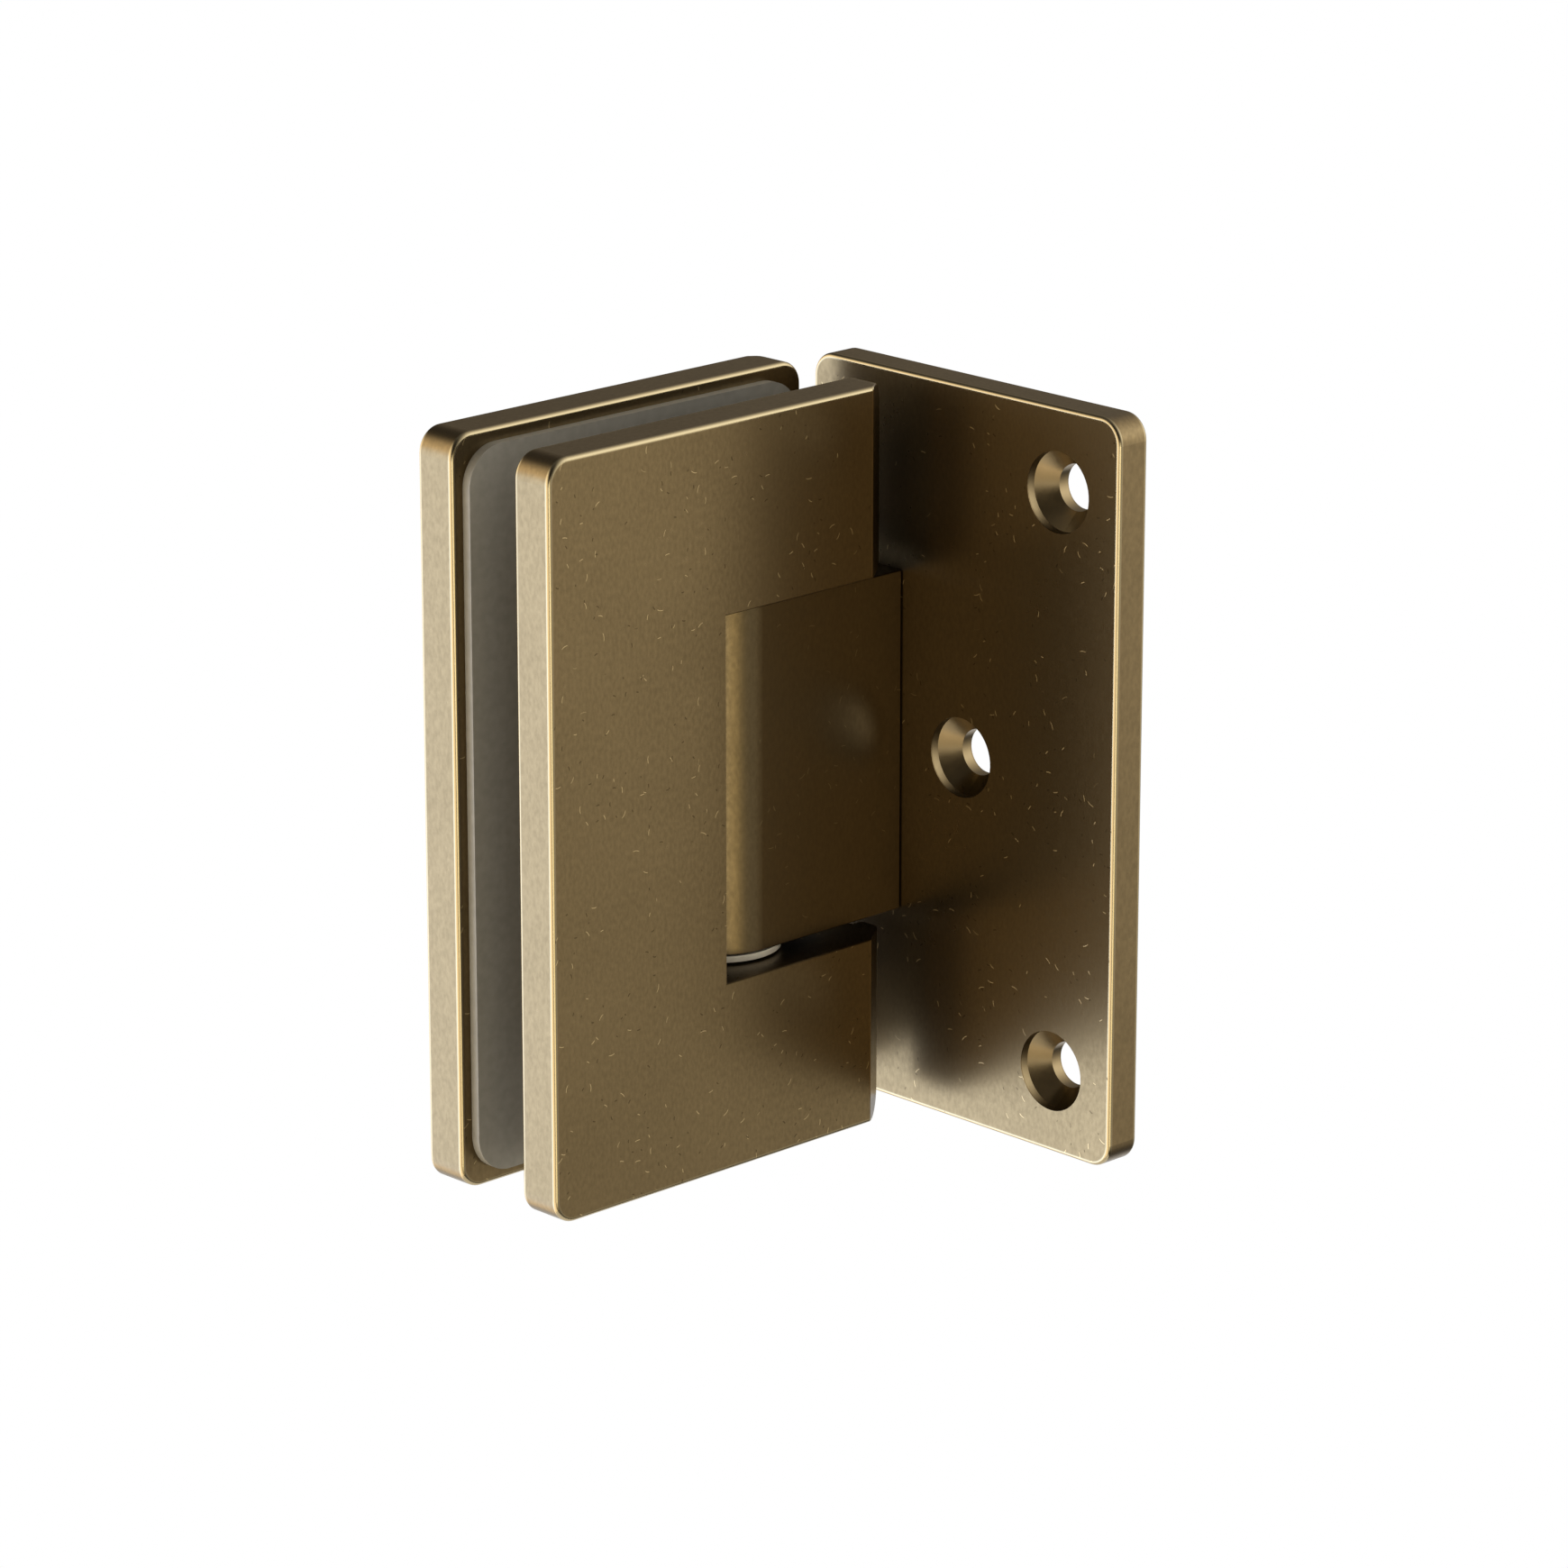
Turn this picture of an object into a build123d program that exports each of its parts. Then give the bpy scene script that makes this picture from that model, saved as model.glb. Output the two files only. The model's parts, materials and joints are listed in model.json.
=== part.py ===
from build123d import *
import os

os.makedirs("parts", exist_ok=True)

# Glass door hinge. Sizes are in millimetres. X runs from the glass towards the wall,
# Y from the face seen in the photo towards the hidden one, and Z up.
# The origin is the middle of the wall plate's back, the face that meets the wall.

# Driving sizes
plate_height = 90.0
clamp_width = 54.5
clamp_thick = 5.7
glass_gap = 10.5
wall_thick = 4.7
wall_width = 49.5
wall_to_clamp = 4.25
corner_round = 3.0
edge_round = 0.5
edge_break = 0.12

# Bevel along the wall side of both clamp plates, which swings past the wall plate
bevel_along = 4.1
bevel_deep = 3.1

# Opening in the clamp plates for the pivot block, and the height of its middle
pocket_height = 44.2
pocket_reach = 9.0
pivot_rise = 0.1

# Thrust washers and their seats on the arms
washer_r = 7.35
washer_thick = 0.74
washer_play = 0.19
washer_hole_clearance = 0.1
seat_r = 6.6
seat_high = 0.27
seat_root = 1.0

# Pivot block
block_thick = 14.9
block_round = block_thick / 2
block_end_gap = seat_high + washer_thick + washer_play
block_height = pocket_height - 2 * block_end_gap
block_seam = 0.2
bush_out_r = 4.5
bush_long = 8.0

# Raised island on the front plate that fills the notch cut in the glass
arm_high = 9.9
island_web = 14.0
island_inset = 1.5
island_half_z = pocket_height / 2 + arm_high
island_round = 5.0
island_short = 0.3

# Pivot pin
pin_r = 3.5
pin_to_edge = 18.5
pin_end_depth = 3.0
pin_half_long = island_half_z - pin_end_depth
pin_key_flat = 2.8
pin_key_relief = 0.1
pin_end_bevel = 0.4
pin_cam_flat = 3.1
pin_cam_half = 11.0
pin_seat_clearance = 0.02
bush_clearance = 0.05

# End plugs over the pin
plug_r = 4.0
plug_long = 2.4
plug_gap = 0.1
plug_bevel = 0.3
plug_socket = 4.0
plug_socket_deep = 1.6

# Places that follow from the sizes above
wall_front_x = -wall_thick
clamp_right_x = wall_front_x - wall_to_clamp
clamp_left_x = clamp_right_x - clamp_width
clamp_mid_x = (clamp_left_x + clamp_right_x) / 2
pin_x = clamp_right_x - pin_to_edge
pin_y = wall_width / 2 - block_thick / 2
front_inner_y = pin_y - glass_gap / 2
front_y = front_inner_y - clamp_thick
rear_inner_y = pin_y + glass_gap / 2
rear_y = rear_inner_y + clamp_thick
pocket_left_x = pin_x - pocket_reach
pocket_top_z = pivot_rise + pocket_height / 2
pocket_low_z = pivot_rise - pocket_height / 2
island_left_x = pocket_left_x - island_web
island_right_x = clamp_right_x - island_inset
island_rear_y = rear_inner_y - island_short

# Detent plungers and springs inside the block
plunger_pitch = 12.0
plunger_bore_r = 4.0
plunger_clearance = 0.05
plunger_long = 9.0
plunger_cup_r = 3.2
plunger_cup_deep = 5.0
plunger_nose_bevel = 0.8
plunger_stand_off = 0.1
spring_wire_r = 0.45
spring_mid_r = 2.55
spring_pitch = 2.3
spring_end_gap = 0.02

# Screws
screw_r = 2.5
screw_hole_clearance = 0.05
screw_pass_clearance = 0.3
screw_head_r = 4.7
screw_head_cone = 2.2
screw_head_rim = 0.4
screw_head_sink = 0.2
screw_tip_bevel = 0.5
screw_tip_gap = 1.0
screw_socket = 3.0
screw_socket_deep = 1.9
clamp_screw_long = 15.0
clamp_screw_from_island = 6.5
clamp_screw_from_pin = 8.5
clamp_screw_x = (island_left_x + clamp_screw_from_island, pin_x + clamp_screw_from_pin)
clamp_screw_z = pocket_height / 2 + arm_high / 2
block_screw_long = 15.5
block_screw_from_end = 5.4
block_screw_pitch = block_height - 2 * block_screw_from_end

# Holes for the wall screws
wall_hole_r = 2.8
wall_sink_r = 4.85
wall_sink_straight = 1.15
wall_sink_cone = 2.05
wall_hole_from_side = 9.55
wall_hole_from_end = 10.0
wall_hole_y = wall_hole_from_side - wall_width / 2
wall_hole_z = plate_height / 2 - wall_hole_from_end

# Gaskets
gasket_thick = 1.2
gasket_margin = 1.65
gasket_round = 4.75
gasket_notch_clearance = 0.6

# How far a cutting shape runs past the face it cuts
cut_extra = 1.0


def box_between(low, high):
    # A box from its low corner to its high corner.
    size = [b - a for a, b in zip(low, high)]
    return Pos(*low) * Box(*size, align=(Align.MIN, Align.MIN, Align.MIN))


def rod_z(x, y, low_z, high_z, radius):
    return Pos(x, y, low_z) * Cylinder(
        radius, high_z - low_z, align=(Align.CENTER, Align.CENTER, Align.MIN)
    )


def rod_x(y, z, low_x, high_x, radius):
    turned = Rot(0, 90, 0) * Cylinder(
        radius, high_x - low_x, align=(Align.CENTER, Align.CENTER, Align.MIN)
    )
    return Pos(low_x, y, z) * turned


def rod_y(x, z, low_y, high_y, radius):
    turned = Rot(-90, 0, 0) * Cylinder(
        radius, high_y - low_y, align=(Align.CENTER, Align.CENTER, Align.MIN)
    )
    return Pos(x, low_y, z) * turned


def clamp_slab(low_y):
    # The plain rounded plate that both clamp plates start from.
    outline = RectangleRounded(clamp_width, plate_height, corner_round)
    slab = extrude(Plane.XZ * outline, amount=-clamp_thick)
    rims = slab.faces().filter_by(Axis.Y).edges()
    slab = fillet(rims, edge_round)
    return Pos(clamp_mid_x, low_y, 0) * slab


def pocket_cut(low_y, high_y):
    return box_between(
        (pocket_left_x, low_y, pocket_low_z),
        (clamp_right_x + cut_extra, high_y, pocket_top_z),
    )


def bevel_cut(face_y, inward):
    # A wedge off the wall-side edge. inward is +1 or -1, the way into the plate.
    slope = bevel_deep / bevel_along
    start = (clamp_right_x - bevel_along, face_y)
    end_x = clamp_right_x + cut_extra
    end_y = face_y + inward * (bevel_deep + cut_extra * slope)
    back_y = face_y - inward * cut_extra
    corner = (start[0] - cut_extra / slope, back_y)
    outline = Polyline(start, (end_x, end_y), (end_x, back_y), corner, close=True)
    wedge = extrude(make_face(outline), amount=plate_height / 2 + cut_extra, both=True)
    return wedge


def break_edges(body, face_y):
    # Takes the sharpness off the pocket and bevel edges on the outer face.
    bevel_x = clamp_right_x - bevel_along
    near = 0.01
    chosen = []
    for edge in body.edges().filter_by(GeomType.LINE):
        middle = edge @ 0.5
        if abs(middle.Y - face_y) > near:
            continue
        on_left = abs(middle.X - pocket_left_x) < near
        on_ledge = middle.X > pocket_left_x and middle.X < bevel_x
        on_ledge = on_ledge and abs(middle.Z) < plate_height / 2 - arm_high
        on_bevel = abs(middle.X - bevel_x) < near
        if on_left or on_ledge or on_bevel:
            chosen.append(edge)
    return chamfer(chosen, edge_break)


def island():
    width = island_right_x - island_left_x
    outline = RectangleRounded(width, 2 * island_half_z, island_round)
    raised = extrude(Plane.XZ * outline, amount=-(island_rear_y - front_inner_y + edge_round))
    middle_x = (island_left_x + island_right_x) / 2
    raised = Pos(middle_x, front_inner_y - edge_round, 0) * raised
    return raised


def keyed_bore():
    # The hole for the pin through both arms, with the flat that keeps the pin from turning.
    hole_r = pin_r + pin_seat_clearance
    flat = pin_key_flat + pin_seat_clearance
    bore = rod_z(pin_x, pin_y, -pin_half_long, pin_half_long, hole_r)
    beyond = box_between(
        (pin_x + flat, pin_y - 2 * hole_r, -2 * pin_half_long),
        (pin_x + 2 * hole_r, pin_y + 2 * hole_r, 2 * pin_half_long),
    )
    return bore - beyond


def washer_seat(side):
    # The low round step on an arm that the thrust washer lies on.
    ledge_z = pocket_top_z if side > 0 else pocket_low_z
    top = ledge_z - side * seat_high
    root = ledge_z + side * seat_root
    low, high = min(top, root), max(top, root)
    return rod_z(pin_x, pin_y, low, high, seat_r) & box_between(
        (pin_x - seat_r, front_inner_y - seat_root, low), (pin_x + seat_r, island_rear_y, high)
    )


def front_plate():
    body = clamp_slab(front_y) + island()
    body -= pocket_cut(front_y - cut_extra, island_rear_y + cut_extra)
    body -= bevel_cut(front_y, 1)
    body = break_edges(body, front_y)
    for side in (-1, 1):
        body += washer_seat(side)
    body -= keyed_bore()
    for side in (-1, 1):
        low = min(side * pin_half_long, side * (island_half_z + cut_extra))
        high = max(side * pin_half_long, side * (island_half_z + cut_extra))
        body -= rod_z(pin_x, pin_y, low, high, plug_r + pin_seat_clearance)
    tip_y = rear_y - screw_head_sink - clamp_screw_long - screw_tip_gap
    for x in clamp_screw_x:
        for z in (-clamp_screw_z, clamp_screw_z):
            body -= rod_y(x, z, tip_y, island_rear_y + cut_extra, screw_r + screw_hole_clearance)
    return body


def sink_hole(pass_r):
    # A countersunk hole along Z with its mouth at Z 0, cut downwards.
    head_top = 0.0
    rim_low = -(screw_head_sink + screw_head_rim)
    cone_low = rim_low - screw_head_cone
    mouth_r = screw_head_r + screw_hole_clearance
    hole = rod_z(0, 0, rim_low, head_top + cut_extra, mouth_r)
    cone = Pos(0, 0, (rim_low + cone_low) / 2) * Cone(screw_r, mouth_r, screw_head_cone)
    hole += cone
    hole += rod_z(0, 0, -2 * clamp_screw_long, rim_low, pass_r)
    return hole


def rear_plate():
    body = clamp_slab(rear_inner_y)
    body -= pocket_cut(rear_inner_y - cut_extra, rear_y + cut_extra)
    body -= bevel_cut(rear_y, -1)
    body = break_edges(body, rear_y)
    for x in clamp_screw_x:
        for z in (-clamp_screw_z, clamp_screw_z):
            hole = sink_hole(screw_r + screw_pass_clearance)
            body -= Pos(x, rear_y, z) * Rot(-90, 0, 0) * hole
    return body


def gasket(low_y):
    width = clamp_width - 2 * gasket_margin
    height = plate_height - 2 * gasket_margin
    outline = RectangleRounded(width, height, gasket_round)
    sheet = Pos(clamp_mid_x, low_y, 0) * extrude(Plane.XZ * outline, amount=-gasket_thick)
    half = island_half_z + gasket_notch_clearance
    left = island_left_x - gasket_notch_clearance
    notch_width = clamp_right_x - left + 2 * gasket_round
    notch = RectangleRounded(notch_width, 2 * half, island_round + gasket_notch_clearance)
    notch = extrude(Plane.XZ * notch, amount=-(gasket_thick + 2 * cut_extra))
    sheet -= Pos(left + notch_width / 2, low_y - cut_extra, 0) * notch
    return sheet


def wall_plate():
    outline = RectangleRounded(wall_width, plate_height, corner_round)
    plate = extrude(Plane.YZ * outline, amount=-wall_thick)
    rims = plate.faces().filter_by(Axis.X).edges()
    plate = fillet(rims, edge_round)
    sink_low = wall_front_x + wall_sink_straight
    cone_low = sink_low + wall_sink_cone
    for y, z in (
        (wall_hole_y, wall_hole_z),
        (wall_hole_y, -wall_hole_z),
        (0.0, pivot_rise),
    ):
        plate -= rod_x(y, z, wall_front_x - cut_extra, sink_low, wall_sink_r)
        cone = Cone(wall_sink_r, wall_hole_r, wall_sink_cone)
        plate -= Pos((sink_low + cone_low) / 2, y, z) * Rot(0, 90, 0) * cone
        plate -= rod_x(y, z, sink_low, cut_extra, wall_hole_r)
    for side in (-1, 1):
        z = pivot_rise + side * block_screw_pitch / 2
        hole = sink_hole(screw_r + screw_pass_clearance)
        plate -= Pos(0, pin_y, z) * Rot(0, 90, 0) * hole
    return plate


def pivot_block():
    low_z = pivot_rise - block_height / 2
    high_z = pivot_rise + block_height / 2
    body = rod_z(pin_x, pin_y, low_z, high_z, block_round)
    body += box_between(
        (pin_x, pin_y - block_round, low_z), (wall_front_x, pin_y + block_round, high_z)
    )
    seam_edges = body.faces().sort_by(Axis.X)[-1].edges()
    body = chamfer(seam_edges, block_seam)
    ends = body.faces().filter_by(Axis.Z)
    rims = ends.edges().filter_by(lambda edge: (edge @ 0.5).X < wall_front_x - 2 * block_seam)
    body = chamfer(rims, edge_break)
    body -= rod_z(pin_x, pin_y, low_z - cut_extra, high_z + cut_extra, bush_out_r)
    for side in (-1, 1):
        z = pivot_rise + side * plunger_pitch / 2
        body -= rod_x(pin_y, z, pin_x, wall_front_x + cut_extra, plunger_bore_r)
        z = pivot_rise + side * block_screw_pitch / 2
        tip_x = -screw_head_sink - block_screw_long - screw_tip_gap
        hole_r = screw_r + screw_hole_clearance
        body -= rod_x(pin_y, z, tip_x, wall_front_x + cut_extra, hole_r)
    return body


def bush(side):
    end_z = pivot_rise + side * block_height / 2
    start_z = end_z - side * bush_long
    low, high = min(start_z, end_z), max(start_z, end_z)
    sleeve = rod_z(pin_x, pin_y, low, high, bush_out_r)
    bore_r = pin_r + bush_clearance
    return sleeve - rod_z(pin_x, pin_y, low - cut_extra, high + cut_extra, bore_r)


def washer(side):
    ledge_z = pocket_top_z if side > 0 else pocket_low_z
    near = ledge_z - side * seat_high
    far = near - side * washer_thick
    low, high = min(near, far), max(near, far)
    disc = rod_z(pin_x, pin_y, low, high, washer_r)
    bore_r = pin_r + washer_hole_clearance
    return disc - rod_z(pin_x, pin_y, low - cut_extra, high + cut_extra, bore_r)


def pivot_pin():
    pin = rod_z(pin_x, pin_y, -pin_half_long, pin_half_long, pin_r)
    pin = chamfer(pin.edges().filter_by(GeomType.CIRCLE), pin_end_bevel)
    far = 2 * pin_r
    # Four flats in the middle give the hold at each quarter turn.
    middle = box_between((-far, -far, -pin_cam_half), (far, far, pin_cam_half))
    keep = box_between(
        (-pin_cam_flat, -pin_cam_flat, -pin_cam_half),
        (pin_cam_flat, pin_cam_flat, pin_cam_half),
    )
    pin -= Pos(pin_x, pin_y, pivot_rise) * (middle - keep)
    # One flat at each end keys the pin in the arms.
    for side in (-1, 1):
        ledge_z = pocket_top_z if side > 0 else pocket_low_z
        start = ledge_z - side * (seat_high + pin_key_relief)
        end = side * 2 * pin_half_long
        low, high = min(start, end), max(start, end)
        pin -= box_between(
            (pin_x + pin_key_flat, pin_y - far, low), (pin_x + far, pin_y + far, high)
        )
    return pin


def socket_cut(across, deep):
    # A hexagon socket along Z with its mouth at Z 0.
    hexagon = RegularPolygon(across / 2, 6, major_radius=False)
    return extrude(Pos(0, 0, 0) * hexagon, amount=-deep)


def end_plug(side):
    plug = Cylinder(plug_r, plug_long, align=(Align.CENTER, Align.CENTER, Align.MAX))
    plug = chamfer(plug.edges().filter_by(GeomType.CIRCLE), plug_bevel)
    plug -= socket_cut(plug_socket, plug_socket_deep)
    if side < 0:
        plug = Rot(180, 0, 0) * plug
    return Pos(pin_x, pin_y, side * (pin_half_long + plug_gap + plug_long)) * plug


def countersunk_screw(length):
    # Head up, with the top of the head at Z 0.
    rim_low = -screw_head_rim
    cone_low = rim_low - screw_head_cone
    screw = rod_z(0, 0, rim_low, 0, screw_head_r)
    cone = Cone(screw_r, screw_head_r, screw_head_cone)
    screw += Pos(0, 0, (rim_low + cone_low) / 2) * cone
    screw += rod_z(0, 0, -length, rim_low, screw_r)
    tip = screw.faces().sort_by(Axis.Z)[0].edges()
    screw = chamfer(tip, screw_tip_bevel)
    screw -= socket_cut(screw_socket, screw_socket_deep)
    return screw


def clamp_screw(x, z):
    screw = Rot(-90, 0, 0) * countersunk_screw(clamp_screw_long)
    return Pos(x, rear_y - screw_head_sink, z) * screw


def block_screw(side):
    screw = Rot(0, 90, 0) * countersunk_screw(block_screw_long)
    z = pivot_rise + side * block_screw_pitch / 2
    return Pos(-screw_head_sink, pin_y, z) * screw


def plunger_nose_x():
    return pin_x + pin_r + plunger_stand_off


def detent_plunger(side):
    z = pivot_rise + side * plunger_pitch / 2
    start = plunger_nose_x()
    body = rod_x(pin_y, z, start, start + plunger_long, plunger_bore_r - plunger_clearance)
    nose = body.faces().sort_by(Axis.X)[0].edges()
    body = chamfer(nose, plunger_nose_bevel)
    cup_x = start + plunger_long - plunger_cup_deep
    body -= rod_x(pin_y, z, cup_x, start + plunger_long + cut_extra, plunger_cup_r)
    return body


def detent_spring(side):
    z = pivot_rise + side * plunger_pitch / 2
    low_x = plunger_nose_x() + plunger_long - plunger_cup_deep + spring_end_gap
    high_x = wall_front_x - spring_end_gap
    length = high_x - low_x
    path = Helix(spring_pitch, length + 2 * spring_pitch, spring_mid_r)
    section = Plane(origin=path @ 0, z_dir=path % 0) * Circle(spring_wire_r)
    coil = sweep(section, path=path, is_frenet=True)
    coil = Pos(0, 0, -spring_pitch) * coil
    reach = spring_mid_r + 2 * spring_wire_r
    keep = box_between((-reach, -reach, 0), (reach, reach, length))
    coil = coil & keep
    return Pos(low_x, pin_y, z) * Rot(0, 90, 0) * coil


pieces = {
    "wall_plate": wall_plate(),
    "pivot_block": pivot_block(),
    "block_screw_upper": block_screw(1),
    "block_screw_lower": block_screw(-1),
    "pivot_bush_upper": bush(1),
    "pivot_bush_lower": bush(-1),
    "detent_plunger_upper": detent_plunger(1),
    "detent_plunger_lower": detent_plunger(-1),
    "detent_spring_upper": detent_spring(1),
    "detent_spring_lower": detent_spring(-1),
    "front_plate": front_plate(),
    "rear_plate": rear_plate(),
    "front_gasket": gasket(front_inner_y),
    "rear_gasket": gasket(rear_inner_y - gasket_thick),
    "pivot_pin": pivot_pin(),
    "end_plug_upper": end_plug(1),
    "end_plug_lower": end_plug(-1),
    "thrust_washer_upper": washer(1),
    "thrust_washer_lower": washer(-1),
    "clamp_screw_upper_outer": clamp_screw(clamp_screw_x[0], clamp_screw_z),
    "clamp_screw_upper_inner": clamp_screw(clamp_screw_x[1], clamp_screw_z),
    "clamp_screw_lower_outer": clamp_screw(clamp_screw_x[0], -clamp_screw_z),
    "clamp_screw_lower_inner": clamp_screw(clamp_screw_x[1], -clamp_screw_z),
}

for name, piece in pieces.items():
    export_step(piece, f"parts/{name}.step")
    print(name, round(piece.volume, 1))
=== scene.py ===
import json
import math
import bpy
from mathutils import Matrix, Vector


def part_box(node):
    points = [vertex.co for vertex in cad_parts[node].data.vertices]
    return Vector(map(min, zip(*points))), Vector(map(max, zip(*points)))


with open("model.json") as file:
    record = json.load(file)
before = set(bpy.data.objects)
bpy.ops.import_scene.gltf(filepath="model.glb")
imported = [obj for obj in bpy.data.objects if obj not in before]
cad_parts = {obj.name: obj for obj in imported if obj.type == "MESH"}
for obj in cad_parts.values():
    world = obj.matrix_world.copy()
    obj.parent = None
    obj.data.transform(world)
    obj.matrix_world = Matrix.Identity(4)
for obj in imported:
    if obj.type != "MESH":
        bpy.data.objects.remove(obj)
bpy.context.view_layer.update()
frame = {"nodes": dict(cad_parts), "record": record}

bpy.ops.object.select_all(action="DESELECT")
print("frame loaded, nodes:", len(frame["nodes"]))


def addNode(tree, kind, place, **settings):
    node = tree.nodes.new(kind)
    node.location = place
    for key, value in settings.items():
        setattr(node, key, value)
    return node


def newMaterial(name):
    made = bpy.data.materials.new(name)
    made.use_nodes = True
    tree = made.node_tree
    tree.nodes.clear()
    out = addNode(tree, "ShaderNodeOutputMaterial", (900, 0))
    shader = addNode(tree, "ShaderNodeBsdfPrincipled", (560, 0))
    tree.links.new(shader.outputs["BSDF"], out.inputs["Surface"])
    return made, tree, shader


noiseRange = (0.3, 0.7)  # where a noise has most of its values


def objectNoise(tree, scale, detail, stretch, place):
    # noise on the piece's own coordinates, stretched along an axis
    coord = addNode(tree, "ShaderNodeTexCoord", (place[0] - 400, place[1]))
    mapping = addNode(tree, "ShaderNodeMapping", (place[0] - 200, place[1]))
    mapping.inputs["Scale"].default_value = stretch
    noise = addNode(tree, "ShaderNodeTexNoise", place)
    noise.inputs["Scale"].default_value = scale
    noise.inputs["Detail"].default_value = detail
    tree.links.new(coord.outputs["Object"], mapping.inputs["Vector"])
    tree.links.new(mapping.outputs["Vector"], noise.inputs["Vector"])
    return noise


def rampRange(tree, source, low, high, toLow, toHigh, place):
    node = addNode(tree, "ShaderNodeMapRange", place)
    node.inputs["From Min"].default_value = low
    node.inputs["From Max"].default_value = high
    node.inputs["To Min"].default_value = toLow
    node.inputs["To Max"].default_value = toHigh
    tree.links.new(source, node.inputs["Value"])
    return node.outputs["Result"]


def mathNode(tree, operation, first, second, place):
    node = addNode(tree, "ShaderNodeMath", place, operation=operation)
    for socket, value in ((0, first), (1, second)):
        if isinstance(value, (int, float)):
            node.inputs[socket].default_value = value
        else:
            tree.links.new(value, node.inputs[socket])
    return node.outputs["Value"]


def mixColour(tree, factor, first, second, place):
    node = addNode(tree, "ShaderNodeMix", place, data_type="RGBA")
    tree.links.new(factor, node.inputs["Factor"])
    for name, value in (("A", first), ("B", second)):
        socket = [s for s in node.inputs if s.name == name and s.type == "RGBA"][0]
        if isinstance(value, tuple):
            socket.default_value = value
        else:
            tree.links.new(value, socket)
    return [s for s in node.outputs if s.type == "RGBA"][0]


def smoothRange(tree, source, low, high, place):
    node = addNode(tree, "ShaderNodeMapRange", place, interpolation_type="SMOOTHSTEP")
    node.inputs["From Min"].default_value = low
    node.inputs["From Max"].default_value = high
    tree.links.new(source, node.inputs["Value"])
    return node.outputs["Result"]


def vectorMath(tree, operation, first, second, place):
    node = addNode(tree, "ShaderNodeVectorMath", place, operation=operation)
    for socket, value in ((0, first), (1, second)):
        if isinstance(value, (tuple, Vector)):
            node.inputs[socket].default_value = value
        elif value is not None:
            tree.links.new(value, node.inputs[socket])
    return node.outputs["Value" if operation in ("LENGTH", "DOT_PRODUCT") else "Vector"]


def splitVector(tree, vector, place):
    node = addNode(tree, "ShaderNodeSeparateXYZ", place)
    tree.links.new(vector, node.inputs["Vector"])
    return node.outputs


def joinVector(tree, first, second, place):
    node = addNode(tree, "ShaderNodeCombineXYZ", place)
    tree.links.new(first, node.inputs["X"])
    tree.links.new(second, node.inputs["Y"])
    return node.outputs["Vector"]


brass = {
    "colour": (0.170, 0.1250, 0.0643, 1.0),
    "dark": (0.131, 0.0963, 0.0495, 1.0),
    "roughness": 0.30,
    "roughSpread": 0.03,
    "mottle": 2200.0,  # scales of the noises
    "clouds": 90.0,
    "mottleShare": 0.75,
    "cloudShare": 0.25,
    "bumpStrength": 0.10,
    "bumpDepth": 0.00002,
    # painted shade in gaps, corners and beside other parts, from an occlusion test
    "paintedShade": (0.068, 0.048, 0.023, 1.0),
    "paintedShadeReach": 0.016,
    "shadeOcclusion": (0.12, 0.60),  # share of open sky, from full painted shade to unshaded brass
    # painted highlight along the rounded edges
    "worn": (0.31, 0.257, 0.158, 1.0),
    "wornShine": 0.10,  # how much smoother they are
    "wornEdge": (0.1, 0.5),  # where the painted highlight begins, and where it is full
    "edgeWidth": 0.0008,
    "cornerRound": 0.003,
    # lighter brass in the screw holes
    "bore": (0.205, 0.158, 0.088, 1.0),
    "boreDepth": (0.0001, 0.0002),  # below the plate's faces
    "boreInset": (0.0025, 0.0029),  # in from the plate's outline
    # flecks and nicks, at most one of each kind in a cell
    "faceSkin": (0.00002, 0.00001),  # they lie on flat faces only
    "fleck": (0.45, 0.35, 0.19, 1.0),
    "fleckCell": 0.0026,
    "fleckLength": 0.00060,  # half of the longest
    "fleckWidth": 0.000060,
    "fleckMatt": 0.15,  # how much rougher a fleck is
    "fleckGroove": 2.0,
    "nick": (0.07, 0.050, 0.025, 1.0),
    "nickShade": 0.9,
    "nickCell": 0.0024,
    "nickLength": 0.00034,
    "nickWidth": 0.00010,
    "strokeBend": 0.25,
    "shortest": 0.35,  # share of the longest
    "endTaper": 0.6,
    "sideTaper": 0.4,
    "bunches": 110.0,
    "bunchEdge": (0.45, 0.62),  # the noise at a bunch's edge, and in it
    "bunchShare": (0.12, 0.85),  # share of cells with a stroke, outside a bunch and in it
}


def plateDepths(tree, plate, place):
    # how far a point lies in from the plate's faces, and from its outline
    coord = addNode(tree, "ShaderNodeTexCoord", place)
    point = coord.outputs["Object"]
    away = vectorMath(tree, "SUBTRACT", point, plate["middle"], (place[0] + 200, place[1]))
    away = vectorMath(tree, "ABSOLUTE", away, None, (place[0] + 400, place[1]))
    depth = vectorMath(tree, "SUBTRACT", plate["half"], away, (place[0] + 600, place[1]))
    depth = splitVector(tree, depth, (place[0] + 800, place[1]))
    faceDepth = depth[plate["faceAxis"]]
    across = depth["Y" if plate["faceAxis"] == "X" else "X"]
    cornerRound = plate["cornerRound"]
    first = mathNode(tree, "SUBTRACT", cornerRound, across, (place[0] + 1000, place[1] + 100))
    first = mathNode(tree, "MAXIMUM", first, 0.0, (place[0] + 1200, place[1] + 100))
    second = mathNode(tree, "SUBTRACT", cornerRound, depth["Z"], (place[0] + 1000, place[1] - 100))
    second = mathNode(tree, "MAXIMUM", second, 0.0, (place[0] + 1200, place[1] - 100))
    corner = joinVector(tree, first, second, (place[0] + 1400, place[1]))
    corner = vectorMath(tree, "LENGTH", corner, None, (place[0] + 1600, place[1]))
    outlineDepth = mathNode(tree, "SUBTRACT", cornerRound, corner, (place[0] + 1800, place[1]))
    return faceDepth, outlineDepth


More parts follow.
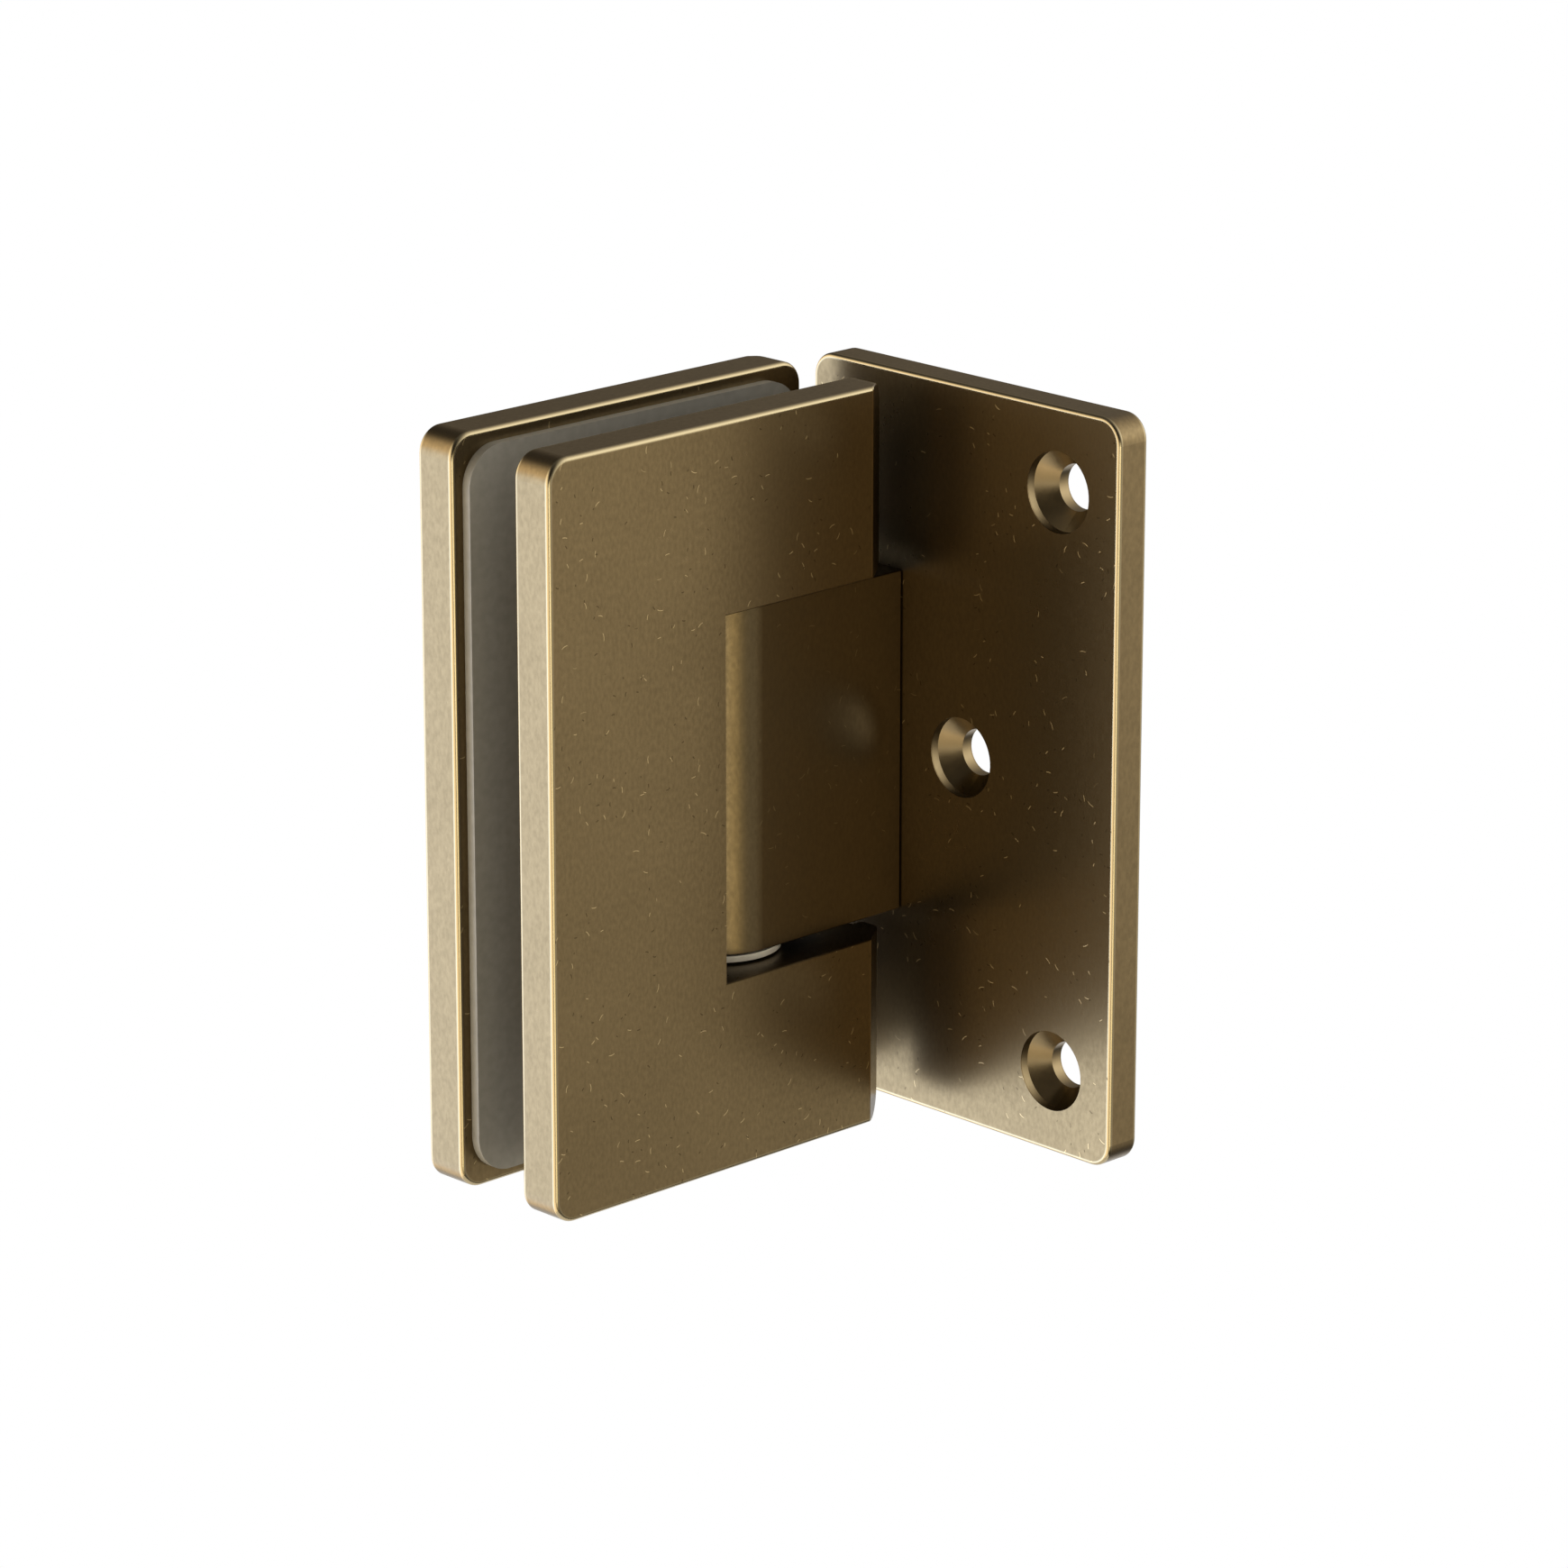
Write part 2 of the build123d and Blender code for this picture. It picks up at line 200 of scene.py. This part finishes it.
def facePlane(tree, plate, place):
    # the two coordinates along the plate's face
    coord = addNode(tree, "ShaderNodeTexCoord", place)
    parts = splitVector(tree, coord.outputs["Object"], (place[0] + 200, place[1]))
    across = parts["Y" if plate["faceAxis"] == "X" else "X"]
    return joinVector(tree, across, parts["Z"], (place[0] + 400, place[1]))


def strokeMask(tree, plane, values, kind, place):
    # one short curved scratch in some of the cells, each turned its own way
    length, width = values[kind + "Length"], values[kind + "Width"]
    cells = addNode(tree, "ShaderNodeTexVoronoi", place, voronoi_dimensions="2D")
    cells.inputs["Scale"].default_value = 1.0 / values[kind + "Cell"]
    tree.links.new(plane, cells.inputs["Vector"])
    chance = splitVector(tree, cells.outputs["Color"], (place[0] + 200, place[1] - 200))
    local = vectorMath(tree, "SUBTRACT", plane, cells.outputs["Position"], (place[0] + 200, place[1]))
    turn = addNode(tree, "ShaderNodeVectorRotate", (place[0] + 400, place[1]), rotation_type="Z_AXIS")
    tree.links.new(local, turn.inputs["Vector"])
    angle = mathNode(tree, "MULTIPLY", chance["X"], 2 * math.pi, (place[0] + 300, place[1] - 100))
    tree.links.new(angle, turn.inputs["Angle"])
    along = splitVector(tree, turn.outputs["Vector"], (place[0] + 600, place[1]))
    reach = mathNode(tree, "ABSOLUTE", along["X"], 0.0, (place[0] + 800, place[1] + 100))
    bend = mathNode(tree, "MULTIPLY", along["X"], along["X"], (place[0] + 800, place[1] - 100))
    bend = mathNode(tree, "MULTIPLY", bend, values["strokeBend"] / length, (place[0] + 950, place[1] - 100))
    off = mathNode(tree, "SUBTRACT", along["Y"], bend, (place[0] + 1100, place[1] - 100))
    off = mathNode(tree, "ABSOLUTE", off, 0.0, (place[0] + 1250, place[1] - 100))
    size = rampRange(tree, chance["Z"], 0.0, 1.0, values["shortest"], 1.0, (place[0] + 600, place[1] - 300))
    reach = mathNode(tree, "DIVIDE", reach, size, (place[0] + 950, place[1] + 100))
    mask = smoothRange(tree, reach, length, values["endTaper"] * length, (place[0] + 1250, place[1] + 100))
    narrow = smoothRange(tree, off, width, values["sideTaper"] * width, (place[0] + 1400, place[1]))
    mask = mathNode(tree, "MULTIPLY", mask, narrow, (place[0] + 1600, place[1]))
    # the strokes stand in loose bunches
    bunch = addNode(tree, "ShaderNodeTexNoise", (place[0] + 800, place[1] - 300), noise_dimensions="2D")
    bunch.inputs["Scale"].default_value = values["bunches"]
    tree.links.new(cells.outputs["Position"], bunch.inputs["Vector"])
    span = (*values["bunchEdge"], *values["bunchShare"])
    crowd = rampRange(tree, bunch.outputs["Fac"], *span, (place[0] + 1000, place[1] - 300))
    crowd = mathNode(tree, "ADD", crowd, chance["Y"], (place[0] + 1200, place[1] - 300))
    some = smoothRange(tree, crowd, 1.0, 1.1, (place[0] + 1400, place[1] - 300))  # these cells have one
    return mathNode(tree, "MULTIPLY", mask, some, (place[0] + 1800, place[1]))


def brassMaterial(name, values, plate=None):
    made, tree, shader = newMaterial(name)
    shader.inputs["Metallic"].default_value = 1.0
    # fine mottle and faint broad clouds of patina
    mottle = objectNoise(tree, values["mottle"], 2.0, (1, 1, 0.6), (-900, 300))
    cloud = objectNoise(tree, values["clouds"], 3.0, (1, 1, 1), (-900, 0))
    fine = rampRange(tree, mottle.outputs["Fac"], *noiseRange, 0.0, values["mottleShare"], (-700, 300))
    broad = rampRange(tree, cloud.outputs["Fac"], *noiseRange, 0.0, values["cloudShare"], (-700, 0))
    share = mathNode(tree, "ADD", fine, broad, (-500, 200))
    body = mixColour(tree, share, values["dark"], values["colour"], (-350, 200))
    # painted shade: darker in gaps, corners and beside other parts, where less open sky reaches
    shadeOcclusion = addNode(tree, "ShaderNodeAmbientOcclusion", (-600, 500), samples=6)
    shadeOcclusion.inputs["Distance"].default_value = values["paintedShadeReach"]
    unshaded = smoothRange(tree, shadeOcclusion.outputs["AO"], *values["shadeOcclusion"], (-400, 500))
    body = mixColour(tree, unshaded, values["paintedShade"], body, (-150, 300))
    duller = values["roughness"] + values["roughSpread"]
    shinier = values["roughness"] - values["roughSpread"]
    rough = rampRange(tree, share, 0.0, 1.0, duller, shinier, (-150, -50))
    height = fine
    if plate:
        faceDepth, outlineDepth = plateDepths(tree, plate, (-2800, -600))
        if plate["worn"]:
            # painted highlight: the rounded edges are painted lighter and made a little smoother
            width = values["edgeWidth"]
            nearFace = smoothRange(tree, faceDepth, width, 0.0, (-800, -600))
            nearOutline = smoothRange(tree, outlineDepth, width, 0.0, (-800, -800))
            edge = mathNode(tree, "MULTIPLY", nearFace, nearOutline, (-600, -700))
            edge = smoothRange(tree, edge, *values["wornEdge"], (-450, -700))
            body = mixColour(tree, edge, body, values["worn"], (50, 300))
            drop = mathNode(tree, "MULTIPLY", edge, -values["wornShine"], (50, -400))
            rough = mathNode(tree, "ADD", rough, drop, (350, -100))
        if plate["bores"]:
            below = smoothRange(tree, faceDepth, *values["boreDepth"], (-800, -1500))
            inward = smoothRange(tree, outlineDepth, *values["boreInset"], (-800, -1700))
            bore = mathNode(tree, "MULTIPLY", below, inward, (-600, -1600))
            body = mixColour(tree, bore, body, values["bore"], (150, 500))
        plane = facePlane(tree, plate, (-3600, -1100))
        onFace = smoothRange(tree, faceDepth, *values["faceSkin"], (-800, -1000))
        fleck = strokeMask(tree, plane, values, "fleck", (-2800, -1200))
        fleck = mathNode(tree, "MULTIPLY", fleck, onFace, (-400, -1200))
        fleck = mathNode(tree, "MULTIPLY", fleck, plate["marks"], (-200, -1200))
        body = mixColour(tree, fleck, body, values["fleck"], (250, 300))
        nick = strokeMask(tree, plane, values, "nick", (-2800, -1900))
        nick = mathNode(tree, "MULTIPLY", nick, onFace, (-400, -2000))
        nick = mathNode(tree, "MULTIPLY", nick, values["nickShade"] * plate["marks"], (-200, -2000))
        body = mixColour(tree, nick, body, values["nick"], (400, 300))
        lift = mathNode(tree, "MULTIPLY", fleck, values["fleckMatt"], (50, -250))
        rough = mathNode(tree, "ADD", rough, lift, (200, -100))
        groove = mathNode(tree, "MULTIPLY", fleck, values["fleckGroove"], (50, -550))
        height = mathNode(tree, "SUBTRACT", fine, groove, (200, -500))
    tree.links.new(body, shader.inputs["Base Color"])
    tree.links.new(rough, shader.inputs["Roughness"])
    bump = addNode(tree, "ShaderNodeBump", (400, -400))
    bump.inputs["Strength"].default_value = values["bumpStrength"]
    bump.inputs["Distance"].default_value = values["bumpDepth"]
    tree.links.new(height, bump.inputs["Height"])
    tree.links.new(bump.outputs["Normal"], shader.inputs["Normal"])
    return made


def plateOf(node, faceAxis, thick=None, outer="low"):
    # the flat plate inside a node's box, for the painted edge highlight that follows its edges
    low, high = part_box(node)
    low, high = Vector(low), Vector(high)
    if thick:
        axis = "XYZ".index(faceAxis)
        if outer == "low":
            high[axis] = low[axis] + thick
        else:
            low[axis] = high[axis] - thick
    return {
        "middle": (low + high) / 2,
        "half": (high - low) / 2,
        "faceAxis": faceAxis,
        "cornerRound": brass["cornerRound"],
        "worn": True,
        "bores": False,
        "marks": 1.0,
    }


def grainedMaterial(name, values):
    made, tree, shader = newMaterial(name)
    noise = objectNoise(tree, values["grain"], 3.0, (1, 1, 1), (-700, 200))
    share = rampRange(tree, noise.outputs["Fac"], *noiseRange, 0.0, 1.0, (-450, 200))
    body = mixColour(tree, share, values["dark"], values["colour"], (-200, 200))
    tree.links.new(body, shader.inputs["Base Color"])
    shader.inputs["Roughness"].default_value = values["roughness"]
    shader.inputs["Metallic"].default_value = values["metallic"]
    return made


# The block is a little darker and duller than the plates
blockBrass = dict(brass)
blockBrass["colour"] = (0.133, 0.098, 0.0505, 1.0)
blockBrass["dark"] = (0.107, 0.079, 0.0406, 1.0)
blockBrass["roughness"] = 0.34

clampThick = 0.0057  # of the front and the rear plate
plates = {
    "wall_plate": plateOf("wall_plate", "X"),
    "front_plate": plateOf("front_plate", "Y", clampThick, "low"),
    "rear_plate": plateOf("rear_plate", "Y", clampThick, "high"),
    "pivot_block": plateOf("pivot_block", "Y"),
}
plates["wall_plate"]["bores"] = True
plates["pivot_block"].update(worn=False, marks=0.3)

rubber = {
    "colour": (0.242, 0.233, 0.208, 1.0),
    "dark": (0.208, 0.201, 0.180, 1.0),
    "roughness": 0.4,
    "metallic": 0.0,
    "grain": 900.0,
}
bearing = {
    "colour": (0.92, 0.87, 0.75, 1.0),
    "dark": (0.86, 0.81, 0.70, 1.0),
    "roughness": 0.4,
    "metallic": 0.0,
    "grain": 1200.0,
}
steel = {
    "colour": (0.55, 0.55, 0.55, 1.0),
    "dark": (0.45, 0.45, 0.45, 1.0),
    "roughness": 0.3,
    "metallic": 1.0,
    "grain": 2200.0,
}

finishes = {
    "bronzed_brass": brassMaterial("agedBrass", brass),
    "screw_steel": brassMaterial("platedScrew", brass),
    "pin_steel": grainedMaterial("groundSteel", steel),
    "bearing_plastic": grainedMaterial("bearingPlastic", bearing),
    "gasket_rubber": grainedMaterial("gasketRubber", rubber),
}
slotOf = {part["node"]: part["material_slot"] for part in frame["record"]["subparts"]}
for nodeName, piece in frame["nodes"].items():
    finish = finishes[slotOf[nodeName]]
    if nodeName in plates:
        values = blockBrass if nodeName == "pivot_block" else brass
        finish = brassMaterial("agedBrass_" + nodeName, values, plates[nodeName])
    piece.data.materials.clear()
    piece.data.materials.append(finish)
print("finishes given")


def towardShare(tree, vector, direction, place):
    # cosine between a ray and a direction
    return vectorMath(tree, "DOT_PRODUCT", vector, Vector(direction).normalized(), place)


def seenStraight(tree, path, place):
    # seen by the camera, straight or through something clear
    straight, through = path.outputs["Is Camera Ray"], path.outputs["Is Transmission Ray"]
    return mathNode(tree, "MAXIMUM", straight, through, place)


def addGlow(tree, strength, colour, before, place):
    back = addNode(tree, "ShaderNodeBackground", place)
    back.inputs["Color"].default_value = colour
    if isinstance(strength, float):
        back.inputs["Strength"].default_value = strength
    else:
        tree.links.new(strength, back.inputs["Strength"])
    if before is None:
        return back.outputs["Background"]
    total = addNode(tree, "ShaderNodeAddShader", (place[0] + 200, place[1]))
    tree.links.new(before, total.inputs[0])
    tree.links.new(back.outputs["Background"], total.inputs[1])
    return total.outputs["Shader"]


# The unlit studio, and the white backdrop behind and below the hinge
studio = {
    "dimLevel": 0.03,
    "dimColour": (1.0, 0.9, 0.8, 1.0),
    "backdropSide": (0.50, 0.52, -0.69),
    "backdropEdge": (0.75, 0.92),
}

# One big window low on the left: a warm skirt round a cool core
bigWindow = {
    # direction, strength, edge, colour
    "skirt": ((-0.72, 0.55, -0.50), 3.1, (0.12, 0.71), (1.0, 0.86, 0.65, 1.0)),
    "core": ((-0.66, 0.66, -0.34), 1.85, (0.80, 0.99), (0.33, 0.85, 1.80, 1.0)),
}

# Soft round lights: direction, strength, sharpness and colour
roundLights = {
    "front": ((0.80, -0.47, 0.386), 1.95, 3.0, (1.0, 0.93, 0.81, 1.0)),
    "frontCore": ((0.674, -0.629, 0.386), 0.7, 12.0, (1.0, 1.15, 1.30, 1.0)),
    "frontLow": ((0.78, -0.62, 0.05), 0.78, 10.0, (1.0, 0.95, 0.80, 1.0)),
    "left": ((-0.327, -0.899, -0.292), 3.8, 30.0, (1.0, 0.88, 0.60, 1.0)),
    "middle": ((0.13, -0.947, -0.292), 0.42, 30.0, (1.0, 1.0, 1.0, 1.0)),
    "leftEdge": ((-0.520, -0.830, -0.20), 4.5, 200.0, (1.0, 1.05, 1.15, 1.0)),
    "back": ((0.664, 0.688, 0.292), 0.18, 20.0, (1.0, 0.80, 0.50, 1.0)),
    "ceiling": ((0.0, 0.3, 0.95), 0.14, 4.0, (1.0, 0.95, 0.9, 1.0)),
}


def buildWorld(values, window, lights):
    world = bpy.data.worlds.new("studio")
    bpy.context.scene.world = world
    world.use_nodes = True
    tree = world.node_tree
    tree.nodes.clear()
    out = addNode(tree, "ShaderNodeOutputWorld", (1400, 0))
    ray = addNode(tree, "ShaderNodeTexCoord", (-1200, 0)).outputs["Generated"]
    light = addGlow(tree, values["dimLevel"], values["dimColour"], None, (-300, -200))
    for row, (direction, strength, edge, colour) in ((100, window["skirt"]), (-50, window["core"])):
        share = smoothRange(tree, towardShare(tree, ray, direction, (-1000, row)), *edge, (-800, row))
        share = mathNode(tree, "MULTIPLY", share, strength, (-600, row))
        light = addGlow(tree, share, colour, light, (-300, row))
    for count, (direction, strength, sharpness, colour) in enumerate(lights.values()):
        row = 300 + 200 * count
        share = towardShare(tree, ray, direction, (-1000, row))
        share = mathNode(tree, "MAXIMUM", share, 0.0, (-800, row))
        share = mathNode(tree, "POWER", share, sharpness, (-650, row))
        share = mathNode(tree, "MULTIPLY", share, strength, (-500, row))
        light = addGlow(tree, share, colour, light, (-300, row))
    # the white backdrop, for the camera and for what the metal mirrors of it
    path = addNode(tree, "ShaderNodeLightPath", (-1000, -600))
    backdrop = towardShare(tree, ray, values["backdropSide"], (-1000, -400))
    backdrop = smoothRange(tree, backdrop, *values["backdropEdge"], (-800, -400))
    mirrored = mathNode(tree, "MULTIPLY", path.outputs["Is Glossy Ray"], backdrop, (-500, -400))
    seen = seenStraight(tree, path, (-500, -600))
    seen = mathNode(tree, "MAXIMUM", seen, mirrored, (-300, -500))
    white = addNode(tree, "ShaderNodeBackground", (800, -300))
    white.inputs["Color"].default_value = (1, 1, 1, 1)
    choose = addNode(tree, "ShaderNodeMixShader", (1100, 0))
    tree.links.new(seen, choose.inputs["Fac"])
    tree.links.new(light, choose.inputs[1])
    tree.links.new(white.outputs["Background"], choose.inputs[2])
    tree.links.new(choose.outputs["Shader"], out.inputs["Surface"])


paleFloor = {
    "place": (-0.03, 0.0, -0.25),
    "radius": 0.16,
    "colour": (0.9, 0.9, 0.9, 1.0),
    "glow": 0.8,
}


def buildFloor(values):
    bpy.ops.mesh.primitive_circle_add(
        vertices=96, radius=values["radius"], fill_type="NGON", location=values["place"])
    floor = bpy.context.object
    floor.name = "floor"
    made = bpy.data.materials.new("paleFloor")
    made.use_nodes = True
    tree = made.node_tree
    tree.nodes.clear()
    out = addNode(tree, "ShaderNodeOutputMaterial", (700, 0))
    matt = addNode(tree, "ShaderNodeBsdfDiffuse", (100, 0))
    matt.inputs["Color"].default_value = values["colour"]
    glow = addNode(tree, "ShaderNodeEmission", (100, -200))
    path = addNode(tree, "ShaderNodeLightPath", (-700, -200))
    seen = seenStraight(tree, path, (-450, -200))
    seen = mathNode(tree, "MAXIMUM", seen, path.outputs["Is Glossy Ray"], (-250, -200))
    strength = mathNode(tree, "MULTIPLY", seen, values["glow"], (-50, -200))
    tree.links.new(strength, glow.inputs["Strength"])
    both = addNode(tree, "ShaderNodeAddShader", (400, 0))
    tree.links.new(matt.outputs["BSDF"], both.inputs[0])
    tree.links.new(glow.outputs["Emission"], both.inputs[1])
    tree.links.new(both.outputs["Shader"], out.inputs["Surface"])
    floor.data.materials.append(made)


buildWorld(studio, bigWindow, roundLights)
buildFloor(paleFloor)
print("studio lit")

# Camera at the photo's viewing angle
photoCamera = {
    "place": (-0.52463, -0.50915, 0.21925),
    "turn": (73.0, 0.0, -43.97),  # degrees
    "lens": 148.64,
    "sensor": 36.0,
}
lens = bpy.data.cameras.new("photoCamera")
lens.lens = photoCamera["lens"]
lens.sensor_width = photoCamera["sensor"]
lens.clip_start = 0.01
lens.clip_end = 20.0
camera = bpy.data.objects.new("photoCamera", lens)
bpy.context.scene.collection.objects.link(camera)
camera.location = photoCamera["place"]
camera.rotation_euler = [math.radians(a) for a in photoCamera["turn"]]
bpy.context.scene.camera = camera
bpy.context.scene.view_settings.view_transform = "Standard"
print("camera set")
